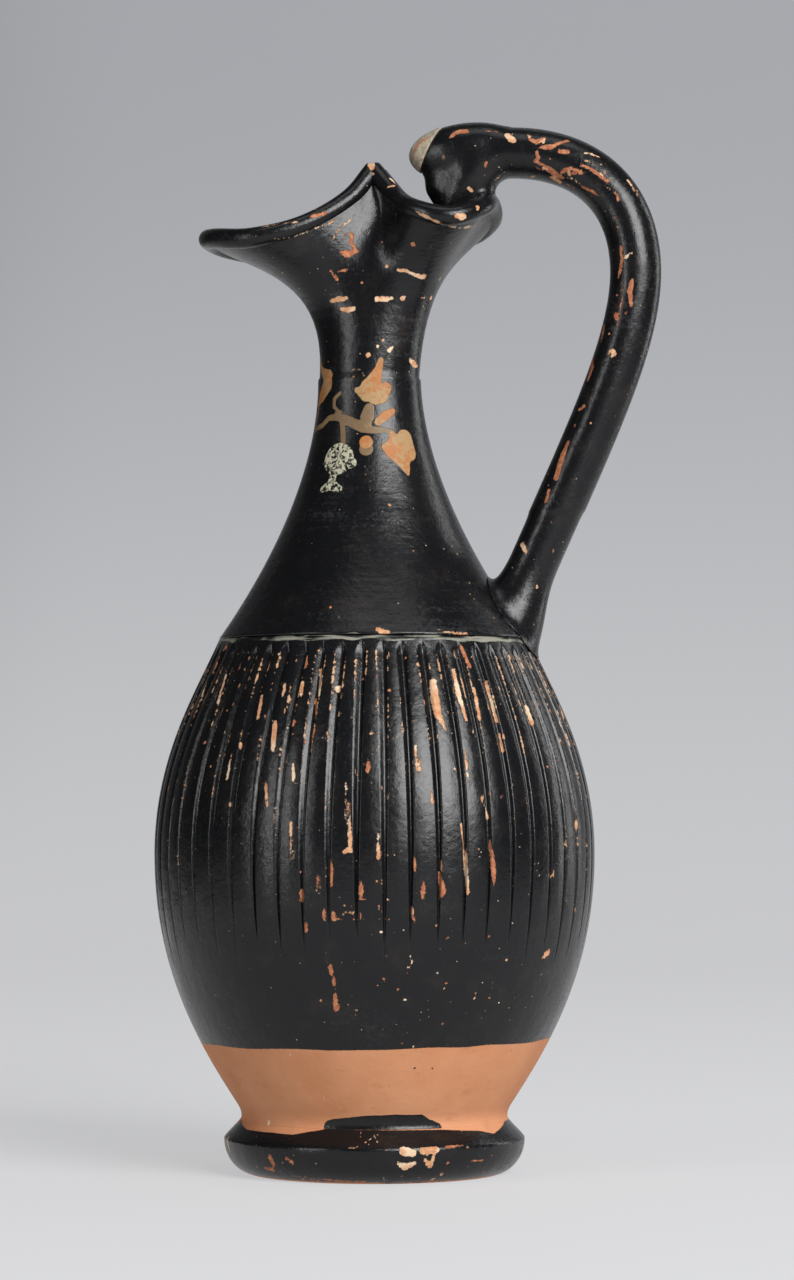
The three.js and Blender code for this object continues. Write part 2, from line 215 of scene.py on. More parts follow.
def makeStudio():
    form = bmesh.new()
    corner = [(math.sin(turn * deg), 1 - math.cos(turn * deg)) for turn in range(0, 91, 6)]
    outline = [(-2.0, 0)] + [(1.2 + 0.6 * y, 0.6 * z) for y, z in corner] + [(1.8, 3.0)]
    verts = [form.verts.new((-3, y, z)) for y, z in outline]
    edges = [form.edges.new(pair) for pair in zip(verts, verts[1:])]
    swept = bmesh.ops.extrude_edge_only(form, edges=edges)
    moved = [item for item in swept["geom"] if isinstance(item, bmesh.types.BMVert)]
    bmesh.ops.translate(form, verts=moved, vec=(6, 0, 0))
    bmesh.ops.recalc_face_normals(form, faces=form.faces)
    mesh = meshOf(form, "backdrop")
    mesh.shade_smooth()
    backdrop = shown("backdrop", mesh)
    paper = Finish("paper")
    height = paper.add("ShaderNodeSeparateXYZ", {}, {"Vector": paper.place}, "Z")
    side = paper.add("ShaderNodeSeparateXYZ", {}, {"Vector": paper.place}, "X").calc("ABSOLUTE")
    # painted light and shade: the backdrop's own glow, from the floor's up to the wall's, dying away to
    # either side
    glow = paper.mixed(height.ramp(*studio["fadeUp"]), studio["floorGlow"], studio["wallGlow"])
    glow = paper.mixed(side.ramp(*studio["fadeOut"]), glow, studio["sideGlow"])
    look = {"Base Color": studio["paperTone"], "Roughness": 0.9, "Specular IOR Level": 0.1}
    look.update({"Emission Color": glow, "Emission Strength": 1.0})
    mesh.materials.append(paper.finished(look, paper.noise(0.6) * 0.01))
    for name, (turn, distance, height, size, power) in studio["lamps"].items():
        turn = (turn + view["azimuth"]) * deg
        spot = (distance * math.sin(turn), -distance * math.cos(turn), height)
        lamp = bpy.data.lights.new(name, "AREA")
        lamp.shape = "RECTANGLE"
        lamp.size, lamp.size_y = size[0] * mm, size[1] * mm
        lamp.energy = power
        box = shown(name, lamp)
        box.location = placed(*spot)
        aimed(box, placed(0, 0, studio["lampAim"]))
    world = bpy.data.worlds.new("room")
    world.use_nodes = True
    room = world.node_tree.nodes["Background"]
    room.inputs["Color"].default_value = (1, 1, 1, 1)
    room.inputs["Strength"].default_value = studio["roomLight"]
    bpy.context.scene.world = world
    bpy.context.scene.view_settings.view_transform = "Standard"


makeStudio()
print("studio made")


# Shape helpers; every form is in millimetres round the wheel's axis until it is finished

def arc(start, startAngle, startTangent, end, endAngle, endTangent, count):
    first, last = Vector((*start, 0)), Vector((*end, 0))
    leave = Vector((math.cos(startAngle * deg), math.sin(startAngle * deg), 0)) * startTangent
    arrive = Vector((math.cos(endAngle * deg), math.sin(endAngle * deg), 0)) * endTangent
    points = geometry.interpolate_bezier(first, first + leave, last - arrive, last, count)
    return [(point.x, point.y) for point in points]


def spun(outline, steps):
    form = bmesh.new()
    verts = [form.verts.new((radius, 0, height)) for radius, height in outline]
    edges = [form.edges.new(pair) for pair in zip(verts, verts[1:])]
    around = {"cent": (0, 0, 0), "axis": (0, 0, 1), "angle": 2 * math.pi, "steps": steps, "use_merge": True}
    bmesh.ops.spin(form, geom=verts + edges, **around)
    bmesh.ops.remove_doubles(form, verts=form.verts, dist=1e-4)
    bmesh.ops.recalc_face_normals(form, faces=form.faces)
    return form


def closed(form):
    bmesh.ops.holes_fill(form, edges=[edge for edge in form.edges if edge.is_boundary], sides=0)


def wrapped(rings, closedLoop):
    # a skin over rings of points, given as an array of ring, column and place
    count, columns = rings.shape[:2]
    form = bmesh.new()
    across, along = columns, count if closedLoop else count - 1
    bmesh.ops.create_grid(form, x_segments=across, y_segments=along, size=0.5)
    for vert in form.verts:
        column = round((vert.co.x + 0.5) * across) % columns
        ring = round((vert.co.y + 0.5) * along) % count
        vert.co = rings[ring, column]
    bmesh.ops.remove_doubles(form, verts=form.verts, dist=1e-4)
    if not closedLoop:
        closed(form)
    bmesh.ops.recalc_face_normals(form, faces=form.faces)
    if form.calc_volume(signed=True) < 0:
        bmesh.ops.reverse_faces(form, faces=form.faces)
    return form


def joinForms(*forms):
    whole = bmesh.new()
    for form in forms:
        mesh = meshOf(form, "part")
        whole.from_mesh(mesh)
        bpy.data.meshes.remove(mesh)
    return whole


def throughModifier(form, kind, settings):
    mesh = meshOf(form, "draft")
    draft = shown("draft", mesh)
    modifier = draft.modifiers.new("shape", kind)
    for key, value in settings.items():
        setattr(modifier, key, value)
    result = draft.evaluated_get(bpy.context.evaluated_depsgraph_get()).to_mesh()
    changed = bmesh.new()
    changed.from_mesh(result)
    bpy.data.objects.remove(draft)
    bpy.data.meshes.remove(mesh)
    return changed


def softened(form, rounds, verts=None):
    axes = {"use_axis_x": True, "use_axis_y": True, "use_axis_z": True}
    for _ in range(rounds):
        bmesh.ops.smooth_vert(form, verts=verts or form.verts, factor=0.5, **axes)
    return form


def remeshed(form, voxel, rounds):
    return softened(throughModifier(form, "REMESH", {"mode": "VOXEL", "voxel_size": voxel}), rounds)


def largestIsland(form):
    # drops every crumb that a cut has left beside the main form
    waiting = set(form.verts)
    islands = []
    while waiting:
        seeds = [waiting.pop()]
        island = []
        while seeds:
            vert = seeds.pop()
            island.append(vert)
            linked = {edge.other_vert(vert) for edge in vert.link_edges} & waiting
            waiting -= linked
            seeds.extend(linked)
        islands.append(island)
    islands.sort(key=len)
    crumbs = [vert for island in islands[:-1] for vert in island]
    bmesh.ops.delete(form, geom=crumbs, context="VERTS")
    return form


def cutBy(form, tool):
    blade = shown("tool", meshOf(tool, "tool"))
    settings = {"operation": "DIFFERENCE", "solver": "MANIFOLD", "object": blade}
    result = throughModifier(form, "BOOLEAN", settings)
    bpy.data.objects.remove(blade)
    return result


def along(path, shares):
    # points at these shares of a path's length
    steps = np.linalg.norm(np.diff(path, axis=0), axis=1)
    length = np.concatenate([[0], np.cumsum(steps)])
    return np.stack([np.interp(shares * length[-1], length, path[:, axis]) for axis in range(3)], axis=1)


def smoothPath(points, perSpan=40):
    # an even curve through the points, as the part's own lip has
    spots = [2 * points[0] - points[1], *points, 2 * points[-1] - points[-2]]
    path = []
    for a, b, c, d in zip(spots, spots[1:], spots[2:], spots[3:]):
        before, span, after = (math.sqrt((q - p).length) for p, q in ((a, b), (b, c), (c, d)))
        leave = ((b - a) / before - (c - a) / (before + span) + (c - b) / span) * span
        arrive = ((c - b) / span - (d - b) / (span + after) + (d - c) / after) * span
        for step in range(perSpan):
            t = step / perSpan
            path.append(
                b * (2 * t ** 3 - 3 * t ** 2 + 1) + leave * (t ** 3 - 2 * t ** 2 + t)
                + c * (3 * t ** 2 - 2 * t ** 3) + arrive * (t ** 3 - t ** 2)
            )
    path.append(points[-1])
    return np.array([tuple(point) for point in path])


def smoothstep(value, low, high):
    t = np.clip((value - low) / (high - low), 0, 1)
    return t * t * (3 - 2 * t)


# Marks: strokes of round dabs, each x, y and radius as seen in the main view, in its picture's pixels

def pictureRay(x, y):
    width, height = view["picture"]
    pixels = height * view["lens"] / view["sensorHeight"]
    ray = Vector(((x - width / 2) / pixels, (height / 2 - y) / pixels, -1))
    turned = camera.matrix_world.to_3x3() @ ray
    start = camera.matrix_world.translation
    return Vector(((start.x - axisX) / mm, start.y / mm, start.z / mm)), turned.normalized(), pixels


def pinned(skinTree, stroke):
    # the dabs of a stroke on the piece, as places and radii in millimetres
    dabs = []
    for x, y, radius in zip(stroke[::3], stroke[1::3], stroke[2::3]):
        start, ray, pixels = pictureRay(x, y)
        hit, normal, _, gap = skinTree.ray_cast(start, ray)
        if hit is not None:
            dabs.append((np.array(hit), radius * gap / pixels))
    return dabs


def strokeField(places, strokes, limit=3.0):
    # how far each place lies inside the strokes, in millimetres
    field = np.full(len(places), -limit)
    for dabs in strokes:
        pairs = list(zip(dabs, dabs[1:])) or [(dab, dab) for dab in dabs]
        for (a, radiusA), (b, radiusB) in pairs:
            run = b - a
            share = np.clip((places - a) @ run / max(run @ run, 1e-6), 0, 1)
            gap = np.linalg.norm(places - (a + share[:, None] * run), axis=1)
            np.maximum(field, radiusA + (radiusB - radiusA) * share - gap, out=field)
    return field


def scattered(places, normals, count, size, seed):
    # dabs on the sides that the main view doesn't show
    draw = random.Random(seed)
    start = pictureRay(*(side / 2 for side in view["picture"]))[0]
    towards = np.array(start) - places
    hidden = np.flatnonzero((normals * towards).sum(axis=1) < 0)
    strokes = []
    for _ in range(count):
        spot = places[hidden[draw.randrange(len(hidden))]]
        radius = draw.uniform(*size)
        run = np.array([draw.gauss(0, radius), draw.gauss(0, radius), draw.gauss(0, 2 * radius)])
        strokes.append([(spot, radius), (spot + run, radius * draw.uniform(0.2, 0.8))])
    return strokes


class Piece:
    # a finished form with the fields that its finish reads
    def __init__(self, name, form):
        self.name = name
        form.normal_update()
        self.mesh = meshOf(form, name)
        self.skinTree = BVHTree.FromBMesh(form)
        form.free()
        count = len(self.mesh.vertices)
        flat = np.empty(count * 3)
        self.mesh.vertices.foreach_get("co", flat)
        self.places = flat.reshape(-1, 3).copy()
        self.mesh.vertices.foreach_get("normal", flat)
        self.normals = flat.reshape(-1, 3).copy()
        self.angles = np.arctan2(self.places[:, 1], self.places[:, 0])
        self.radii = np.hypot(self.places[:, 0], self.places[:, 1])
        self.heights = self.places[:, 2]

    def strokes(self, seen):
        return [dabs for dabs in (pinned(self.skinTree, stroke) for stroke in seen) if dabs]

    def field(self, name, values):
        layer = self.mesh.attributes.new(name, "FLOAT", "POINT")
        layer.data.foreach_set("value", np.asarray(values, dtype=np.float32))

    def chips(self, seen, hidden, creamCount):
        # the chips down to cream and to orange clay, those that are seen and those on the hidden sides
        for name, share in (("cream", hidden[:creamCount]), ("orange", hidden[creamCount:])):
            strokes = self.strokes(seen[name + "Marks"]) + share
            self.field(name, strokeField(self.places, strokes))

    def finish(self, material, node, slot):
        for name in fieldNames:
            if name not in self.mesh.attributes:
                self.field(name, np.full(len(self.places), 0.0 if name == "rub" else -3.0))
        moved = self.places * mm
        moved[:, 0] += axisX
        self.mesh.vertices.foreach_set("co", moved.ravel())
        self.mesh.update()
        self.mesh.shade_smooth()
        self.mesh.materials.append(material)
        piece = shown(self.name, self.mesh)
        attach(piece, "root")
        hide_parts(node)
        print(self.name, "made,", len(self.mesh.polygons), "faces")
        return piece


def wobble(angles, scale, seed):
    # a smooth closed line of noise round the axis, from about -1 to 1
    spots = [Vector((math.cos(a) * scale, math.sin(a) * scale, seed)) for a in angles]
    return np.array([noise.noise(spot) for spot in spots]) * 1.8


# The black slip, its chips down to cream and orange clay, and the painted marks

clay = {
    "slip": (0.0045, 0.0047, 0.0055, 1),
    "brownSlip": (0.014, 0.0105, 0.0085, 1),   # where it was brushed thin
    "film": (0.031, 0.032, 0.035, 1),        # grey film of lime
    "cream": (0.54, 0.31, 0.17, 1),
    "paleCream": (0.62, 0.47, 0.32, 1),
    "orange": (0.42, 0.175, 0.08, 1),
    "brick": (0.27, 0.085, 0.04, 1),
    "terracotta": (0.45, 0.184, 0.082, 1),
    "paleTerracotta": (0.53, 0.247, 0.127, 1),
    "darkTerracotta": (0.31, 0.115, 0.05, 1),
    "linePaint": (0.24, 0.235, 0.19, 1),
    "ochrePaint": (0.36, 0.135, 0.035, 1),
    "creamPaint": (0.33, 0.205, 0.09, 1),
    "stemPaint": (0.19, 0.12, 0.06, 1),
    "whitePaint": (0.40, 0.385, 0.28, 1),
    "slipRoughness": 0.25,
    "clayRoughness": 0.85,
    "slipGloss": 0.34,
    "chipRaggedness": 0.85,
}
fieldNames = ("cream", "orange", "bare", "rub", "line", "ochrePaint", "stemPaint", "whitePaint")


def slipFinish(name, wheelMarks, filmShare, speckle):
    slip = Finish(name)
    cloud = slip.noise(26, 4)
    blotch = slip.noise(7, 4, offset=40)
    grain = slip.noise(1.1, 4, 0.65)
    fine = slip.noise(0.4, 2, 0.6)
    ragged = (slip.noise(1.1, 4, 0.7, offset=9) - 0.5) * 1.3 + (fine - 0.5) * 0.7
    wheel = slip.noise(1.0, 3, 0.6, stretch=(0.03, 0.03, 0.8), offset=3)

    tone = slip.mixed(blotch.ramp(0.5, 0.8) * 0.8, clay["slip"], clay["brownSlip"])
    film = cloud + (grain - 0.5) * 0.8 + (wheel - 0.5) * (0.5 * wheelMarks)
    film = film.ramp(1 - filmShare, 1.3 - filmShare)
    tone = slip.mixed(film * 0.36, tone, clay["film"])

    rub = slip.field("rub")
    rubbed = (rub + (grain - 0.5) * 1.2 + (blotch - 0.5) * 1.1).ramp(0.55, 0.68) * rub.ramp(0.02, 0.2)
    rubTone = slip.mixed(blotch.ramp(0.4, 0.6), clay["orange"], clay["cream"])
    tone = slip.mixed(rubbed * 0.85, tone, rubTone)

    dense = slip.noise(18, 3, offset=70).ramp(0.35, 0.75)
    pin = slip.flecks(1.9, 0.19, 0.42 * speckle) * (dense * 0.65 + 0.35)
    spot = slip.flecks(3.4, 0.30, 0.25 * speckle, 13) * (dense * 0.8 + 0.2)
    ember = slip.flecks(5.0, 0.36, 0.2 * speckle, 31)
    tone = slip.mixed(pin * 0.9, tone, clay["paleCream"])
    tone = slip.mixed(spot, tone, clay["cream"])
    tone = slip.mixed(ember, tone, clay["orange"])
    sliver = slip.flecks(2.4, 0.5, 0.22 * speckle, 57, (1, 1, 0.33))
    sliver = sliver * (rub + (blotch - 0.5)).ramp(0.12, 0.3)
    tone = slip.mixed(sliver, tone, slip.mixed(grain.ramp(0.4, 0.6), clay["orange"], clay["cream"]))

    creamChip, orangeChip = (
        (slip.field(name) + ragged * clay["chipRaggedness"]).ramp(0.0, 0.14) for name in ("cream", "orange")
    )
    creamTone = slip.mixed((grain + (fine - 0.5) * 0.4).ramp(0.35, 0.65), clay["orange"], clay["cream"])
    creamTone = slip.mixed(blotch.ramp(0.45, 0.6), creamTone, clay["paleCream"])
    orangeTone = slip.mixed(grain.ramp(0.4, 0.65), clay["brick"], clay["orange"])
    tone = slip.mixed(orangeChip, tone, orangeTone)
    tone = slip.mixed(creamChip, tone, creamTone)

    bare = (slip.field("bare") + ragged * 0.18).ramp(0.0, 0.16)
    pale = (cloud + (fine - 0.5) * 0.15).ramp(0.3, 0.75)
    bareTone = slip.mixed(pale, clay["terracotta"], clay["paleTerracotta"])
    smear = slip.noise(9, 5, 0.7, stretch=(1, 1, 2.5), offset=55)
    smear = (smear + (grain - 0.5) * 0.25).ramp(0.55, 0.85)
    bareTone = slip.mixed(smear * 0.6, bareTone, clay["darkTerracotta"])
    scuff = slip.flecks(4.2, 0.30, 0.35, 91)
    bareTone = slip.mixed(scuff * 0.7, bareTone, clay["darkTerracotta"])
    bareTone = slip.mixed(creamChip, bareTone, clay["paleCream"])
    bareTone = slip.mixed(orangeChip, bareTone, clay["brownSlip"])
    tone = slip.mixed(bare, tone, bareTone)

    wear = (grain * 0.6 + fine * 0.4).ramp(0.33, 0.46)
    pores = slip.flecks(1.0, 0.17, 0.6, 17)
    stem = (slip.field("stemPaint") + ragged * 0.12).ramp(-0.06, 0.14) * (0.45 + wear * 0.3)
    stemTone = slip.mixed(blotch.ramp(0.45, 0.75), clay["stemPaint"], clay["creamPaint"])
    tone = slip.mixed(stem, tone, stemTone)
    ochre = (slip.field("ochrePaint") + ragged * 0.14).ramp(-0.04, 0.14)
    ochre = ochre * (0.7 + wear * 0.22 - pores * 0.55)
    mottle = (blotch + (grain - 0.5) * 0.9).ramp(0.4, 0.58)
    ochreTone = slip.mixed(mottle, clay["ochrePaint"], clay["creamPaint"])
    tone = slip.mixed(ochre, tone, ochreTone)
    pitted = (slip.noise(0.9, 3, 0.7, offset=21)).ramp(0.44, 0.54)
    white = (slip.field("whitePaint") + ragged * 0.16).ramp(0.0, 0.12) * pitted
    tone = slip.mixed(white, tone, clay["whitePaint"])
    brushed = slip.noise(2.2, 3, 0.6, stretch=(0.25, 0.25, 2.2), offset=66).ramp(0.4, 0.6)
    line = (slip.field("line") + ragged * 0.25).ramp(-0.05, 0.2) * brushed
    tone = slip.mixed(line * 0.9, tone, clay["linePaint"])

    clayShows = creamChip.atLeast(orangeChip).atLeast(bare).atLeast(spot).atLeast(ember).atLeast(sliver)
    painted = stem.atLeast(ochre).atLeast(white).atLeast(line)
    rough = clay["slipRoughness"] + film * 0.2 + (grain - 0.5) * 0.2 + (blotch - 0.5) * 0.12
    rough = slip.add("ShaderNodeMix", {}, {0: clayShows, 2: rough, 3: clay["clayRoughness"]})
    rough = rough.atLeast(painted * 0.62).atLeast(rubbed * 0.6)
    height = (
        (cloud - 0.5) * 0.7 + (blotch - 0.5) * 0.16 + (grain - 0.5) * 0.08 + (fine - 0.5) * 0.03
        + (wheel - 0.5) * (0.05 * wheelMarks) - clayShows * 0.09 - pin * 0.05 + painted * 0.05
    )
    look = {"Base Color": tone, "Roughness": rough, "Specular IOR Level": clay["slipGloss"]}
    return slip.finished(look, height)


# Foot

foot = {
    "height": 15.3,
    "edgeRadius": 40,
    "edgeHeight": 9.3,
    "topRadius": 34.9,
    "standingRadius": 33.8,
    "standingWidth": 6,
    "hollowDepth": 8.5,
    "seatRadius": 29,
    "seatDepth": 2,
    "columns": 600,
    "sideAngle": 15,         # of the rounded side where it leaves the floor, from level
    "sideTangents": (3.5, 4.3),
    "topAngles": (125, 115),
    "topTangent": 2.2,
    "slipLowest": 38.3,
    # where the slip starts on the sloping top, from left to right in the picture
    "slipBorder": [
        (241, 1121), (247, 1130), (273, 1133), (292, 1135), (310, 1132), (328, 1129), (332, 1120),
        (367, 1118), (394, 1115), (420, 1115), (427, 1121), (440, 1130), (479, 1131), (494, 1134),
        (505, 1118),
    ],
    "creamMarks": [
        (404, 1151, 5, 413, 1153, 4), (398, 1163, 2, 405, 1167, 4, 415, 1163, 2),
        (423, 1151, 4, 436, 1150, 4), (425, 1160, 2, 430, 1166, 3, 433, 1158, 2),
        (228, 1138, 3, 230, 1151, 2), (349, 1148, 1, 358, 1147, 1),
        (328, 1124, 1, 351, 1122, 1, 377, 1127, 1, 403, 1123, 1, 425, 1125, 1),
        (361, 1127, 0.6, 361, 1140, 0.6), (381, 1133, 0.6, 372, 1138, 0.6, 365, 1143, 0.6),
        (374, 1135, 0.5, 378, 1143, 0.5),
    ],
    "orangeMarks": [
        (447, 1147, 2, 463, 1145, 1), (448, 1163, 2), (471, 1161, 1, 483, 1160, 1),
        (286, 1158, 2, 293, 1163, 2), (270, 1157, 3, 273, 1164, 3), (265, 1168, 2, 273, 1170, 3),
        (293, 1176, 1, 330, 1180, 2, 365, 1182, 2), (380, 1183, 2, 430, 1181, 2, 480, 1176, 1),
    ],
}


def footTop():
    edge, top = (foot["edgeRadius"], foot["edgeHeight"]), (foot["topRadius"], foot["height"])
    leave, arrive = foot["topAngles"]
    return arc(edge, leave, foot["topTangent"], top, arrive, foot["topTangent"], 14)


def makeFoot():
    below, above = foot["sideTangents"]
    edge = (foot["edgeRadius"], foot["edgeHeight"] - 0.5)
    outer = arc((foot["standingRadius"], 0), foot["sideAngle"], below, edge, 90, above, 16)
    inside = foot["standingRadius"] - foot["standingWidth"]
    outline = [
        (0, foot["hollowDepth"]), (inside * 0.5, foot["hollowDepth"]),
        *arc((inside - 5, foot["hollowDepth"]), 0, 3, (inside, 0.4), -75, 3, 10),
        (inside + 0.7, 0), *outer, *footTop(), (foot["topRadius"] - 0.5, foot["height"]),
        (foot["seatRadius"], foot["height"]),
        (foot["seatRadius"], foot["height"] - foot["seatDepth"]),
        (0, foot["height"] - foot["seatDepth"]),
    ]
    piece = Piece("footRing", spun(outline, foot["columns"]))
    border = [dabs[0][0] for dabs in piece.strokes([(x, y, 1) for x, y in foot["slipBorder"]])]
    turns = np.array([math.atan2(spot[1], spot[0]) for spot in border])
    reach = np.array([math.hypot(spot[0], spot[1]) for spot in border])
    order = np.argsort(turns)
    drift = 37.6 + 1.2 * wobble(piece.angles, 3, 2.5)
    edge = np.minimum(np.interp(piece.angles, turns[order], reach[order]), foot["slipLowest"])
    seen = smoothstep(piece.angles, turns.min() - 0.2, turns.min())
    seen = seen * (1 - smoothstep(piece.angles, turns.max(), turns.max() + 0.2))
    edge = edge * seen + drift * (1 - seen)
    above = smoothstep(piece.heights, foot["edgeHeight"] - 1, foot["edgeHeight"])
    hollow = (piece.radii < inside - 0.5) * (piece.heights < foot["hollowDepth"] + 1)
    under = smoothstep(-piece.heights, -0.6, -0.15) + hollow
    bare = (edge - piece.radii) * above - 2 * (1 - above)
    piece.field("bare", np.where(under > 0, under * 2 - 0.5, bare))
    hidden = scattered(piece.places, piece.normals, 26, (0.3, 1.1), 11)
    piece.chips(foot, hidden, 12)
    arris = np.exp(-((piece.heights - foot["edgeHeight"]) / 0.8) ** 2) * (piece.radii > 38)
    toe = np.exp(-((piece.heights - 1.0) / 1.6) ** 2) * (piece.radii > 33)
    piece.field("rub", np.clip(0.34 * arris + 0.40 * toe, 0, 1))
    piece.finish(slipFinish("footSlip", 0.6, 0.35, 1.0), "foot", "black_slip")


makeFoot()


# Body

body = {
    "height": 125.9,
    "joint": 0.3,            # slip between the thrown parts
    "bellyHeight": 69,
    "bellyRadius": 58.75,
    "footRadius": 34.8,
    "footAngle": 56.6,
    "footTangent": 19,
    "bellyTangentBelow": 32.5,
    "bellyTangentAbove": 25.9,
    "shoulderRadius": 41.6,
    "shoulderAngle": 65.9,
    "shoulderTangent": 15.2,
    "wall": 4.5,
    "floorRadius": 24,
    "grooves": 52,
    "columnsPerGroove": 14,
    "grooveHalfWidths": (1.5, 0.85, 0.35),  # at its top, at the belly and at its foot
    "grooveDepth": 1.3,
    "grooveLean": 0.4,       # the cut's bottom lies towards one side, so its other flank is wide
    "ribCrown": 0.14,
    "grooveTopMargin": 1.2,
    "grooveTopTaper": 3.5,
    "grooveFootHeight": 41,
    "grooveFootTaper": 21,
    "grooveFootDrift": 4.5,
    "flare": 1.45,           # the foot of the wall spreads over the foot ring's slope
    "flareAngle": 124,
    "flareTangents": (1.5, 1.7),
    "flareSink": 0.06,       # its edge ends this far inside the slope, so that no line is seen
    "filletRise": 2.4,
    "floorAngle": 18,
    "rows": 54,
    "slipEdgeHeight": 35.4,
    "slipPatch": [
        (334, 1123, 4, 352, 1122, 5, 368, 1120, 5, 395, 1119, 5, 420, 1119, 5, 427, 1123, 4),
        (331, 1127, 7, 350, 1126, 8, 380, 1126, 9, 410, 1126, 9, 430, 1127, 7, 437, 1128, 5),
    ],
    "slipEdgeRise": 0.7,     # higher towards the handle
    "shoulderLine": 141.0,
    "shoulderLineHalf": 0.8,
    # small spots in the picture: how many, the middle of the cloud, and its spread
    "grit": [
        (90, 440, 950, 42, 42), (45, 350, 900, 45, 40), (40, 400, 1020, 50, 25), (40, 330, 760, 70, 60),
    ],
    # flakes along the ribs and below them
    "creamMarks": [
        (226, 675, 2, 218, 703, 2), (207, 682, 1, 202, 695, 2), (232, 752, 1, 227, 779, 2),
        (262, 696, 2, 258, 719, 2), (275, 723, 3, 273, 749, 3), (285, 683, 2, 283, 695, 2),
        (302, 683, 3, 301, 695, 2), (321, 669, 2, 319, 695, 2), (338, 689, 4),
        (347, 781, 2, 348, 821, 3, 351, 852, 2), (293, 765, 2, 294, 781, 2),
        (291, 821, 2, 293, 850, 3, 293, 872, 2), (375, 821, 2, 378, 858, 3), (416, 746, 2, 419, 772, 3),
        (433, 682, 4, 435, 700, 5, 438, 715, 4, 447, 732, 1), (453, 669, 2, 458, 692, 3, 466, 720, 2),
        (486, 682, 2, 497, 722, 2), (499, 732, 1, 503, 752, 2), (464, 750, 1, 469, 778, 2),
        (474, 689, 2, 480, 720, 2), (480, 784, 1, 487, 818, 2), (461, 824, 2, 466, 864, 3, 468, 895, 2),
        (526, 706, 2, 532, 723, 3), (260, 780, 2, 266, 785, 2, 267, 806, 2), (381, 932, 2),
        (543, 957, 2, 547, 953, 5, 550, 950, 2), (381, 675, 2), (455, 769, 2), (427, 775, 1, 433, 804, 2),
        (240, 1041, 1, 243, 1048, 1), (314, 1071, 1, 315, 1075, 1), (318, 1087, 1, 325, 1101, 1),
        (291, 1055, 2), (224, 667, 1, 215, 700, 1),
    ],
    "orangeMarks": [
        (219, 657, 1, 213, 674, 2), (200, 698, 1, 193, 720, 1), (243, 649, 1, 239, 669, 2), (226, 647, 3),
        (205, 742, 3), (307, 657, 1, 306, 666, 2), (293, 723, 4), (316, 700, 2, 316, 715, 2),
        (314, 729, 2, 312, 739, 2), (368, 761, 2, 368, 771, 3), (461, 646, 2, 470, 667, 2),
        (490, 841, 2, 494, 873, 3, 496, 902, 1), (502, 792, 2, 502, 798, 2), (527, 804, 2), (555, 811, 2),
        (440, 874, 3, 443, 894, 4), (414, 858, 2, 415, 870, 2), (424, 881, 2, 423, 898, 2),
        (331, 861, 2, 331, 887, 2), (319, 875, 3, 320, 893, 3), (361, 881, 2, 361, 897, 3), (224, 883, 3),
        (301, 890, 3, 303, 900, 3), (306, 923, 2, 306, 933, 2), (299, 933, 2), (323, 910, 3, 324, 922, 2),
        (333, 909, 1, 333, 919, 2), (361, 913, 1, 361, 923, 1), (378, 908, 3), (390, 919, 2),
        (412, 916, 2, 417, 923, 2), (446, 917, 2, 445, 923, 2), (480, 929, 2), (330, 966, 3, 332, 975, 2),
        (334, 979, 2, 334, 986, 2), (335, 993, 2, 336, 1009, 3), (350, 1005, 3, 352, 1009, 3),
        (355, 1015, 2), (384, 980, 3), (403, 1012, 2), (491, 996, 3), (446, 983, 2), (407, 973, 1),
        (404, 993, 1), (362, 838, 2), (167, 891, 1, 167, 900, 1), (338, 1097, 2), (415, 1068, 2),
        (291, 1057, 1),
    ],
}
bodyFootZ = foot["height"] + body["joint"]
bellyZ = bodyFootZ + body["bellyHeight"]
shoulderZ = bodyFootZ + body["height"]


def bodyOutline(inset, rows):
    slope = 1 / math.sin(body["shoulderAngle"] * deg)
    belly = (body["bellyRadius"] - inset, bellyZ)
    start, startAngle = (body["footRadius"], bodyFootZ), body["footAngle"]
    if inset > 0:
        start, startAngle = (body["floorRadius"], bodyFootZ + body["wall"]), body["floorAngle"]
    lower = arc(start, startAngle, body["footTangent"], belly, 90, body["bellyTangentBelow"], rows)
    shoulder = (body["shoulderRadius"] - inset * slope, shoulderZ)
    arrive = 180 - body["shoulderAngle"]
    upper = arc(belly, 90, body["bellyTangentAbove"], shoulder, arrive, body["shoulderTangent"], rows)
    return lower + upper[1:]


def lineField(piece):
    # the brushed line round the joint of neck and body
    half = body["shoulderLineHalf"] * (1 + 0.4 * wobble(piece.angles, 12, 1.5))
    drift = 0.25 * wobble(piece.angles, 3, 8.5)
    return half - np.abs(piece.heights - body["shoulderLine"] - drift)


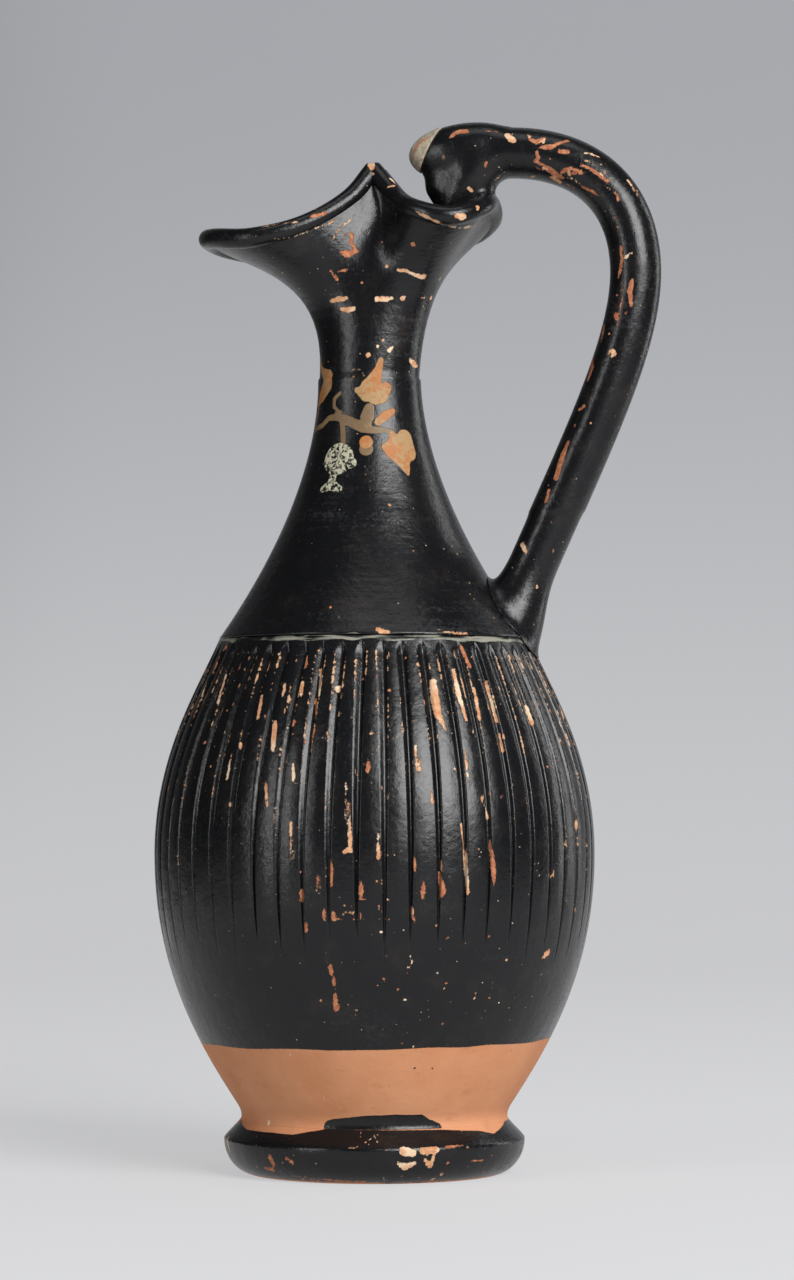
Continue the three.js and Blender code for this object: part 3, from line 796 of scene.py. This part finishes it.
def ribbedPlace(vert, grooveSets):
    radius, height = math.hypot(vert.co.x, vert.co.y), vert.co.z
    pitch = 2 * math.pi / body["grooves"]
    turn = (math.atan2(vert.co.y, vert.co.x) % (2 * math.pi)) / pitch
    groove = int(turn + 1e-6) % body["grooves"]
    place = turn - int(turn + 1e-6) - 0.5
    shift, depth, footRise = grooveSets[groove]
    top = smoothstep(shoulderZ - body["grooveTopMargin"] - height, 0, body["grooveTopTaper"])
    footZ = bodyFootZ + body["grooveFootHeight"] + footRise
    fade = top * smoothstep(height - footZ, 0, body["grooveFootTaper"])
    half = np.interp(height, (footZ, bellyZ + 8, shoulderZ), body["grooveHalfWidths"][::-1])
    half = half / (pitch * radius) * (0.3 + 0.7 * fade ** 0.5)
    # the columns crowd into the cut, so that its edges and its bottom are crisp
    columns = (0, 0.3 * half, 0.67 * half, half, half + 0.035, half + 0.1, 0.42, 0.5)
    across = np.interp(abs(place), np.linspace(0, 0.5, len(columns)), columns)
    crown = body["ribCrown"] * fade
    if across > half:
        cut = crown * ((0.5 - across) / (0.5 - half)) ** 2
    else:
        # a V near the shoulder, rounder further down, where its bottom catches the light as a thin line
        hollow = 1 - smoothstep(height, bellyZ - 8, bellyZ + 45)
        share = across / half
        cut = crown + (body["grooveDepth"] * depth * fade - crown) * (1 - share) * (1 + share * hollow)
    lean = body["grooveLean"] * max(0, half - across)
    angle = (groove + 0.5 + math.copysign(across, place) + lean + shift * (1 - 2 * across)) * pitch
    edge = fade * math.exp(-((across - half) * pitch * radius / 0.5) ** 2)
    return Vector(((radius - cut) * math.cos(angle), (radius - cut) * math.sin(angle), height)), edge


def makeBody():
    rim = body["shoulderRadius"] - body["wall"] / math.sin(body["shoulderAngle"] * deg)
    boss = foot["seatRadius"] - body["joint"]
    underside = foot["height"] - foot["seatDepth"] + body["joint"]
    slope = np.array(footTop())
    flareZ = foot["height"] - body["flare"]
    foothold = np.interp(flareZ, slope[:, 1], slope[:, 0]) - body["flareSink"]
    wall = [spot for spot in bodyOutline(0, body["rows"]) if spot[1] > bodyFootZ + body["filletRise"]]
    leave, arrive = body["flareTangents"]
    fillet = arc((foothold, flareZ), body["flareAngle"], leave, wall[0], body["footAngle"], arrive, 10)
    outer = fillet[:-1] + wall
    outline = [
        (0, underside), (boss, underside), (boss, bodyFootZ), (foot["topRadius"], foot["height"] + 0.06),
        *outer, (rim, shoulderZ),
        *reversed(bodyOutline(body["wall"], 9)[:-1]), (0, bodyFootZ + body["wall"]),
    ]
    form = spun(outline, body["grooves"] * body["columnsPerGroove"])
    draw = random.Random(5)
    cuts = [(draw.gauss(0, 0.02), draw.uniform(0.8, 1.15)) for _ in range(body["grooves"])]
    grooveSets = [(*cut, body["grooveFootDrift"] * draw.uniform(-1, 1)) for cut in cuts]
    wallAt = np.array(outer)
    edges = []
    for vert in form.verts:
        onWall = np.interp(vert.co.z, wallAt[:, 1], wallAt[:, 0])
        edge = 0
        if abs(math.hypot(vert.co.x, vert.co.y) - onWall) < 0.2 and vert.co.z > bodyFootZ + 1:
            vert.co, edge = ribbedPlace(vert, grooveSets)
        edges.append(edge)
    piece = Piece("ribbedBody", form)
    strip = body["slipEdgeHeight"] + body["slipEdgeRise"] * np.cos(piece.angles)
    strip = strip + 0.2 * wobble(piece.angles, 5, 7.5)
    outside = piece.radii > np.interp(piece.heights, wallAt[:, 1], wallAt[:, 0]) - 2.5
    patch = strokeField(piece.places, piece.strokes(body["slipPatch"]))
    bare = np.minimum(np.clip(strip - piece.heights, -3, 3), -patch)
    piece.field("bare", np.where(outside, bare, 2.0))
    hidden = scattered(piece.places, piece.normals, 110, (0.25, 0.9), 21)
    grit = [
        (draw.gauss(x, wide), draw.gauss(y, high), draw.uniform(0.9, 2.3))
        for count, x, y, wide, high in body["grit"] for _ in range(count)
    ]
    piece.field("line", np.where(outside, lineField(piece), -3))
    seen = {"creamMarks": body["creamMarks"] + grit[::2], "orangeMarks": body["orangeMarks"] + grit[1::2]}
    piece.chips(seen, hidden, 60)
    upper = 0.36 + 0.2 * smoothstep(piece.heights, 95, 130)
    piece.field("rub", np.array(edges) * upper)
    piece.finish(slipFinish("bodySlip", 0.25, 0.4, 1.0), "body", "black_slip")


makeBody()


# Neck and mouth

neck = {
    "height": 70.1,
    "angle": 54.3,
    "tangent": 23,
    "throatRadius": 13.8,
    "throatTangentBelow": 24.8,
    "wall": 4,
    "lean": 1.4,
    "tongueHeight": 4,
    "tongueWidth": 3,
    "mouthWall": 3,
    "lipRadius": 2.6,
    "throatTangentAbove": 27,
    "lipTangent": 16,
    "riseSetBack": 1.6,
    "creaseFade": 24,        # columns over which the fold under the pinch is smoothed away, downwards
    "dent": (4.3, 43.5),       # the thumb's dent under the pinch: x, and rise over the throat
    "dentDepth": 1.8,
    "dentReach": (4.2, 7),
    "lipUpturn": 5,
    "columns": 240,
    "footRows": 92,
    "rows": 84,
    "innerRows": 40,
    "boreTangentShare": 0.85,
    # the near half of the lip, as x, y and rise over the throat, from the pinch to the front and to the back
    "pinch": (0.4, -5.5, 55.2),
    "spoutSide": [(-5.2, -10.1, 47.3), (-17.1, -16.65, 39.3), (-30.15, -18.5, 35.9), (-41.4, -11.3, 36.85)],
    "spoutTip": (-45, 0, 37.8),
    "backSide": [(7.2, -11.2, 47.3), (13.3, -18.9, 42.8), (22.6, -20.5, 40.4), (29.8, -13.5, 43.4)],
    "backMiddle": (31, 0, 46.5),
    "creamMarks": [
        (371, 164, 4, 372, 168, 3), (373, 174, 2), (388, 187, 1, 394, 186, 2), (391, 179, 2, 397, 185, 1),
        (275, 239, 1, 295, 236, 1, 310, 230, 1, 327, 224, 1, 340, 218, 1), (262, 227, 1, 297, 222, 1),
        (416, 212, 1, 425, 216, 2, 438, 222, 2, 451, 226, 2, 468, 227, 2, 479, 223, 1),
        (457, 216, 3, 463, 217, 4), (478, 208, 3), (471, 190, 3), (477, 180, 1, 488, 187, 1),
        (355, 215, 0.8, 347, 223, 1, 339, 229, 1, 331, 242, 0.8), (387, 266, 2),
        (398, 270, 2, 407, 271, 2), (410, 273, 2, 424, 277, 3), (440, 279, 2),
        (331, 301, 2, 340, 299, 3, 347, 298, 2), (377, 299, 3, 387, 299, 3), (391, 298, 2, 394, 298, 1),
        (403, 298, 3), (421, 298, 1, 424, 298, 1), (431, 298, 3), (341, 309, 2, 347, 310, 3, 353, 309, 3),
        (378, 629, 3, 385, 633, 4, 392, 634, 3), (398, 640, 2, 406, 643, 4, 413, 645, 2),
        (437, 630, 1, 452, 633, 2, 466, 634, 2, 473, 637, 1), (247, 640, 2, 251, 645, 3), (423, 306, 1),
        (368, 355, 3), (378, 346, 2), (383, 340, 2), (389, 351, 2, 392, 348, 2),
        (410, 360, 2, 413, 363, 4, 417, 366, 2), (409, 371, 1), (390, 505, 2), (361, 510, 1),
    ],
    "orangeMarks": [
        (311, 217, 2, 326, 213, 2), (344, 235, 1, 352, 234, 2, 351, 242, 2, 356, 249, 2, 358, 252, 1),
        (341, 252, 2, 347, 254, 4, 355, 252, 2), (330, 270, 1, 337, 279, 2), (339, 271, 1, 346, 270, 2),
        (353, 269, 1), (362, 283, 2), (382, 242, 1), (413, 244, 3), (431, 350, 1, 432, 362, 1),
    ],
    "leaves": [
        (321, 357, 1, 321, 366, 3, 323, 372, 4, 328, 376, 7),
        (328, 377, 7, 327, 385, 8, 322, 396, 7, 319, 404, 3),
        (381, 360, 3, 379, 368, 4, 375, 378, 7, 371, 388, 11, 376, 395, 10), (357, 390, 3, 366, 393, 9),
        (386, 388, 6, 380, 395, 9), (392, 434, 3, 398, 447, 16), (405, 438, 9, 408, 452, 10),
        (402, 458, 11, 406, 468, 5, 408, 474, 2), (386, 447, 5, 394, 447, 12), (366, 442, 7),
        (378, 422, 4, 386, 415, 5, 393, 411, 3),
    ],
    "stems": [
        (315, 430, 3, 322, 426, 3, 329, 418, 3, 338, 417, 4, 347, 420, 5, 355, 424, 5, 363, 427, 6, 372,
         430, 4, 384, 430, 3, 392, 432, 3), (319, 408, 2, 317, 419, 2, 315, 429, 2),
        (342, 422, 3, 343, 432, 3, 343, 443, 3),
        (340, 393, 2, 334, 399, 2, 334, 407, 2, 339, 412, 2, 345, 412, 1), (369, 408, 5, 367, 417, 7),
        (309, 449, 2, 314, 442, 1), (350, 372, 1, 356, 368, 1, 362, 371, 1, 364, 376, 1), (366, 449, 7),
        (349, 382, 1, 354, 376, 1),
    ],
    "whiteFlower": [
        (338, 459, 17), (351, 463, 6), (333, 476, 4, 331, 484, 5), (323, 489, 4, 331, 485, 6, 339, 489, 4),
    ],
}
neckFootZ = shoulderZ + body["joint"]
throatZ = neckFootZ + neck["height"]


def neckRing(radius, height):
    turns = np.arange(neck["columns"]) * 2 * math.pi / neck["columns"]
    lean = -neck["lean"] * min(max((height - neckFootZ) / neck["height"], 0), 1)
    rows = (lean + radius * np.cos(turns), radius * np.sin(turns), np.full(neck["columns"], height))
    return np.stack(rows, axis=1)


def lipPaths():
    def lifted(point):
        return Vector((point[0], point[1], throatZ + point[2]))

    def whole(half, middle):
        near = [lifted(neck["pinch"])] + [lifted(point) for point in half]
        far = [Vector((point.x, -point.y, point.z)) for point in reversed(near)]
        return smoothPath(near + [lifted(middle)] + far)

    return whole(neck["spoutSide"], neck["spoutTip"]), whole(neck["backSide"], neck["backMiddle"])


def mouthMiddle(rows):
    # the middle of the mouth's wall: curved sections from the throat to the lip
    spout, back = lipPaths()
    quarter = neck["columns"] // 4
    shares = np.arange(2 * quarter) / (2 * quarter)
    fromNear = along(spout, 1 - shares)      # from the far pinch round the front
    fromBack = along(back, shares)
    lip = np.concatenate([fromBack[quarter:], fromNear, fromBack[:quarter]])
    start = neckRing(neck["throatRadius"] - neck["wall"] / 2, throatZ)
    rise = start + [neck["riseSetBack"], 0, neck["throatTangentAbove"]]
    arrival = lip - rise + [0, 0, neck["lipUpturn"]]
    arrival *= neck["lipTangent"] / np.linalg.norm(arrival, axis=1)[:, None]
    t = np.linspace(0, 1, rows)[:, None, None]
    rings = (
        (1 - t) ** 3 * start + 3 * (1 - t) ** 2 * t * rise + 3 * (1 - t) * t ** 2 * (lip - arrival)
        + t ** 3 * lip
    )
    for row, share in enumerate(t.ravel()):
        reach = round(neck["creaseFade"] * (1 - share) ** 0.7)
        weights = {step: reach + 1 - abs(step) for step in range(-reach, reach + 1)}
        turned = [np.roll(rings[row], step, axis=0) * weight for step, weight in weights.items()]
        rings[row] = sum(turned) / sum(weights.values())
    aside = (rings[..., 0] - neck["dent"][0]) / neck["dentReach"][0]
    above = (rings[..., 2] - throatZ - neck["dent"][1]) / neck["dentReach"][1]
    dent = neck["dentDepth"] * np.exp(-(aside ** 2) - above ** 2)
    rings[..., 1] -= np.sign(rings[..., 1]) * np.minimum(dent, np.abs(rings[..., 1]) / 2)
    return rings


def offsetRings(rings, distances):
    around = np.roll(rings, -1, axis=1) - np.roll(rings, 1, axis=1)
    up = np.gradient(rings, axis=0)
    up[0] = (0, 0, 1)
    normals = np.cross(around, up)
    normals /= np.linalg.norm(normals, axis=2)[:, :, None]
    return rings + normals * distances[:, None, None]


def roll(path, radii, steps, sides):
    # a rolled lip: a round section carried along the path
    centres = along(path, np.linspace(0, 1, steps))
    ahead = np.gradient(centres, axis=0)
    ahead /= np.linalg.norm(ahead, axis=1)[:, None]
    across = np.cross(ahead, [0, 0, 1.0])
    across /= np.linalg.norm(across, axis=1)[:, None]
    upward = np.cross(across, ahead)
    turns = np.arange(sides) * 2 * math.pi / sides
    spots = np.cos(turns)[None, :, None] * across[:, None] + np.sin(turns)[None, :, None] * upward[:, None]
    rings = centres[:, None] + spots * radii[:, None, None]
    return wrapped(rings, False)


def neckOutline(rows):
    return arc(
        (body["shoulderRadius"], neckFootZ), 180 - neck["angle"], neck["tangent"],
        (neck["throatRadius"], throatZ), 90, neck["throatTangentBelow"], rows,
    )


def mouthRings(rows, side):
    walls = np.linspace(side * neck["wall"], side * neck["mouthWall"], rows)
    return offsetRings(mouthMiddle(rows), walls / 2)


def neckForm():
    lower = neckOutline(neck["footRows"])[:-1]
    outerRings = mouthRings(neck["rows"], 1)
    innerRings = mouthRings(neck["innerRows"], -1)[::-1]
    rim = body["shoulderRadius"] - body["wall"] / math.sin(body["shoulderAngle"] * deg)
    tongueOuter = rim - body["joint"]
    tongueInner = tongueOuter - neck["tongueWidth"]
    bore = arc(
        (tongueInner, shoulderZ), 180 - neck["angle"], neck["boreTangentShare"] * neck["tangent"],
        (neck["throatRadius"] - neck["wall"], throatZ), 90, neck["throatTangentBelow"], 24,
    )[:-1]
    tongueFoot = neckFootZ - neck["tongueHeight"]
    tongue = [(tongueInner, tongueFoot), (tongueOuter, tongueFoot), (tongueOuter, neckFootZ)]
    rings = np.concatenate([
        [neckRing(*spot) for spot in lower], outerRings, innerRings,
        [neckRing(*spot) for spot in reversed(bore)], [neckRing(*spot) for spot in tongue],
    ])
    spout, back = lipPaths()
    shares = np.linspace(0, 1, 200)
    radii = neck["lipRadius"] + 0.12 * wobble(shares * math.pi, 2, 4.5)
    rolls = [roll(path, radii, 200, 28) for path in (spout, back)]
    return wrapped(rings, True), rolls


def makeNeck():
    wall, rolls = neckForm()
    piece = Piece("neckAndMouth", joinForms(wall, *rolls))
    hidden = scattered(piece.places, piece.normals, 60, (0.2, 0.7), 31)
    piece.field("line", np.where(piece.radii > 38, lineField(piece), -3))
    piece.chips(neck, hidden, 35)
    for name, seen in (("ochrePaint", "leaves"), ("stemPaint", "stems"), ("whitePaint", "whiteFlower")):
        near = piece.strokes(neck[seen])
        far = [[(spot * [1, -1, 1], radius) for spot, radius in dabs] for dabs in near]
        piece.field(name, strokeField(piece.places, near + far))
    piece.field("rub", 0.17 * smoothstep(piece.heights, throatZ + 34, throatZ + 40))
    piece.finish(slipFinish("neckSlip", 1.0, 0.42, 0.8), "neck", "black_slip")


makeNeck()


# Handle, its terminal and the pale cap

handle = {
    "thickness": 13.7,
    "width": 15,
    "rootRadius": 34,
    "rootAngle": 67,
    "rootTangent": 50,
    "rootSpread": 1.5,
    "rootShare": 0.11,
    "filletRise": 34,        # the joint with the shoulder is smoothed up to here
    "filletRounds": 60,
    "chin": (19, 51.5, 5.8),  # x and rise of a ball that fills the throat under the nose, and its radius
    "chinRise": 40,
    "chinRounds": 40,
    "seatGap": 0.25,
    "reach": 70.15,
    "bendRise": 27.4,
    "bendTangents": (22, 20),
    "topRise": 59.9,
    "topReach": 36,
    "topTangent": 21.5,
    "endRise": 31,
    "endReach": 16,
    "pressTangent": 10,
    "endTangent": 15,
    "endSlant": 6.8,
    "endSpread": 1.1,
    "endTaper": 0.5,
    "noseLength": 16.2,
    "noseHalfHeight": 8.1,
    "noseHalfWidth": 8,
    "noseDroop": 4,
    "noseX": 25.5,
    "noseRise": 60.4,
    "capSlant": 26,
    "capLength": 6,
    # dull, pale and dirty
    "capTones": ((0.25, 0.215, 0.165, 1), (0.50, 0.42, 0.30, 1), (0.12, 0.09, 0.07, 1)),
    "capMarks": [(413, 157, 1, 416, 147, 2, 422, 141, 2, 430, 137, 1)],
    "seam": 0.3,
    "creamMarks": [
        (507, 135, 3, 511, 139, 4, 514, 141, 3), (528, 135, 1, 530, 137, 2), (544, 168, 2, 548, 170, 1),
        (553, 178, 3, 560, 182, 3), (584, 153, 1, 591, 154, 2, 599, 157, 1), (585, 161, 1, 594, 162, 1),
        (628, 181, 2, 631, 185, 2), (637, 190, 1, 637, 196, 1), (632, 252, 1, 626, 257, 2),
        (571, 178, 1, 581, 184, 1), (609, 353, 2, 613, 350, 2, 615, 354, 2, 611, 357, 1),
        (498, 166, 1, 504, 172, 1), (495, 181, 1, 500, 176, 1), (469, 188, 2, 472, 191, 2),
        (532, 177, 2, 535, 176, 1), (477, 205, 2, 480, 208, 2), (518, 537, 2, 522, 544, 3, 526, 552, 2),
        (537, 587, 2), (540, 142, 1, 545, 139, 1), (598, 171, 1, 603, 176, 1),
    ],
    "orangeMarks": [
        (451, 137, 2, 457, 132, 3, 466, 131, 3), (486, 131, 1, 498, 132, 1), (486, 163, 2, 486, 167, 1),
        (530, 139, 2, 537, 142, 3, 545, 138, 2), (541, 147, 2, 551, 147, 3, 560, 143, 2, 568, 141, 2),
        (559, 151, 2, 567, 152, 3), (537, 152, 2, 538, 158, 2, 534, 162, 1), (537, 162, 2, 541, 164, 2),
        (544, 166, 2, 550, 170, 4, 556, 175, 4, 563, 178, 2), (562, 172, 2, 570, 168, 2, 580, 172, 2),
        (571, 174, 1, 582, 173, 2), (582, 165, 2, 592, 170, 2, 601, 176, 2, 608, 181, 2),
        (581, 186, 1, 591, 191, 2, 598, 195, 1), (615, 192, 1, 619, 200, 2),
        (615, 217, 1, 618, 227, 1, 619, 234, 1), (621, 246, 2, 622, 261, 2, 620, 272, 2, 618, 279, 1),
        (622, 282, 1, 622, 300, 1, 619, 314, 1, 617, 327, 1), (632, 280, 2, 630, 291, 3, 631, 305, 2),
        (617, 295, 2), (616, 315, 3, 617, 319, 2), (626, 313, 2), (604, 325, 2, 603, 333, 2, 601, 341, 1),
        (593, 357, 3, 592, 368, 3, 588, 380, 2), (630, 377, 1), (579, 410, 2, 584, 406, 2), (575, 425, 2),
        (568, 442, 2, 562, 458, 4, 556, 478, 3), (549, 490, 2, 546, 502, 2), (541, 170, 1, 535, 166, 1),
        (566, 184, 1, 574, 188, 1), (605, 185, 1, 611, 190, 1),
    ],
}


def handlePath():
    def at(x, z):
        return Vector((x, 0, z))

    root = at(handle["rootRadius"], shoulderZ)
    bend = at(handle["reach"], throatZ + handle["bendRise"])
    top = at(handle["topReach"], throatZ + handle["topRise"])
    end = at(handle["endReach"], throatZ + handle["endRise"])
    rootAngle = handle["rootAngle"] * deg
    lean = at(math.cos(rootAngle), math.sin(rootAngle)) * handle["rootTangent"]
    below, above = handle["bendTangents"]
    spans = [
        (root, root + lean, bend - at(0, below), bend),
        (bend, bend + at(0, above), top + at(handle["topTangent"], 0), top),
        (top, top + at(-handle["pressTangent"], 1), end + at(handle["endSlant"], handle["endTangent"]), end),
    ]
    points = [tuple(point) for span in spans for point in geometry.interpolate_bezier(*span, 60)[:-1]]
    return np.array(points + [tuple(end)])


def handleTube(steps=150, sides=44):
    shares = np.linspace(0, 1, steps)
    centres = along(handlePath(), shares)
    ahead = np.gradient(centres, axis=0)
    ahead /= np.linalg.norm(ahead, axis=1)[:, None]
    outward = np.cross([0, 1.0, 0], ahead)
    root = handle["rootSpread"] + (1 - handle["rootSpread"]) * smoothstep(shares, 0, handle["rootShare"])
    press = 1 + (handle["endSpread"] - 1) * smoothstep(shares, 0.8, 0.9)
    spread = root * press * (1 + (handle["endTaper"] - 1) * smoothstep(shares, 0.86, 0.98))
    turns = np.arange(sides) * 2 * math.pi / sides
    across = np.cos(turns)[None, :, None] * np.array([0, 1.0, 0]) * handle["width"] / 2
    inPlane = np.sin(turns)[None, :, None] * outward[:, None] * handle["thickness"] / 2
    return wrapped(centres[:, None] + (across + inPlane) * spread[:, None, None], False)


def noseForm():
    form = bmesh.new()
    bmesh.ops.create_uvsphere(form, u_segments=64, v_segments=40, radius=1)
    size = (handle["noseHalfHeight"], handle["noseHalfWidth"], handle["noseLength"])
    bmesh.ops.scale(form, verts=form.verts, vec=size)
    turn = geometryTurn(-90 - handle["noseDroop"])
    bmesh.ops.rotate(form, verts=form.verts, cent=(0, 0, 0), matrix=turn)
    bmesh.ops.translate(form, verts=form.verts, vec=(handle["noseX"], 0, throatZ + handle["noseRise"]))
    return form


def chinForm():
    x, rise, radius = handle["chin"]
    form = bmesh.new()
    bmesh.ops.create_uvsphere(form, u_segments=32, v_segments=20, radius=radius)
    bmesh.ops.translate(form, verts=form.verts, vec=(x, 0, throatZ + rise))
    return form


def geometryTurn(angle):
    return Matrix.Rotation(angle * deg, 3, "Y")


def capPlane(gap):
    tip = handle["noseX"] - handle["noseLength"] + handle["capLength"]
    normal = geometryTurn(handle["capSlant"]) @ Vector((-1, 0, 0))
    return Vector((tip, 0, throatZ + handle["noseRise"])) + normal * gap, normal


def cutAway(form, spot, normal):
    # keeps what lies behind the plane and closes the cut
    geom = form.verts[:] + form.edges[:] + form.faces[:]
    bmesh.ops.bisect_plane(form, geom=geom, plane_co=spot, plane_no=normal, clear_outer=True)
    closed(form)


def seatForm(gap):
    # the shoulder and neck, filled, standing this far proud
    shoulder = bodyOutline(0, 24)
    outline = [(radius + gap, height) for radius, height in shoulder[24:] + neckOutline(32)]
    form = spun([(0, bellyZ)] + outline + [(0, throatZ)], 160)
    for vert in form.verts:
        share = min(max((vert.co.z - neckFootZ) / neck["height"], 0), 1)
        vert.co.x -= neck["lean"] * share
    return form


def makeHandle():
    wall, rolls = neckForm()
    seat = joinForms(seatForm(0), wall, *rolls)
    form = remeshed(joinForms(handleTube(), noseForm(), chinForm(), seat), 0.65, 4)
    root = [vert for vert in form.verts if vert.co.x > 18 and vert.co.z < shoulderZ + handle["filletRise"]]
    softened(form, handle["filletRounds"], root)
    chin = [vert for vert in form.verts if vert.co.x < 36 and vert.co.z > throatZ + handle["chinRise"]]
    softened(form, handle["chinRounds"], chin)
    form = cutBy(form, seatForm(handle["seatGap"]))
    form = cutBy(form, remeshed(joinForms(wall, *rolls), 0.7, 1))
    cutAway(form, *capPlane(0))
    form = largestIsland(form)
    piece = Piece("handleBar", form)
    hidden = scattered(piece.places, piece.normals, 30, (0.25, 0.8), 41)
    piece.chips(handle, hidden, 12)
    outer = smoothstep(piece.heights, throatZ + 30, throatZ + 55) * (piece.places[:, 0] > 30)
    piece.field("rub", 0.1 + 0.12 * outer)
    piece.finish(slipFinish("handleSlip", 0.2, 0.4, 1.0), "handle", "black_slip")


def capFinish():
    pale = Finish("paleClay")
    mottle = pale.noise(3.2, 4, 0.6)
    grain = pale.noise(0.6, 3, 0.6)
    dull, light, dirt = handle["capTones"]
    tone = pale.mixed(mottle.ramp(0.38, 0.66), dull, light)
    tone = pale.mixed((pale.field("orange") + (grain - 0.5) * 1.2).ramp(-0.1, 0.25), tone, clay["orange"])
    tone = pale.mixed((grain + mottle * 0.4).ramp(0.72, 0.86) * 0.6, tone, dirt)
    rough = 0.75 + (grain - 0.5) * 0.2
    height = (mottle - 0.5) * 0.3 + (grain - 0.5) * 0.12
    return pale.finished({"Base Color": tone, "Roughness": rough}, height)


def makeCap():
    form = noseForm()
    spot, normal = capPlane(handle["seam"])
    cutAway(form, spot, -normal)
    piece = Piece("paleCap", form)
    piece.field("orange", strokeField(piece.places, piece.strokes(handle["capMarks"])))
    piece.finish(capFinish(), "handle_cap", "pale_clay")


makeHandle()
makeCap()
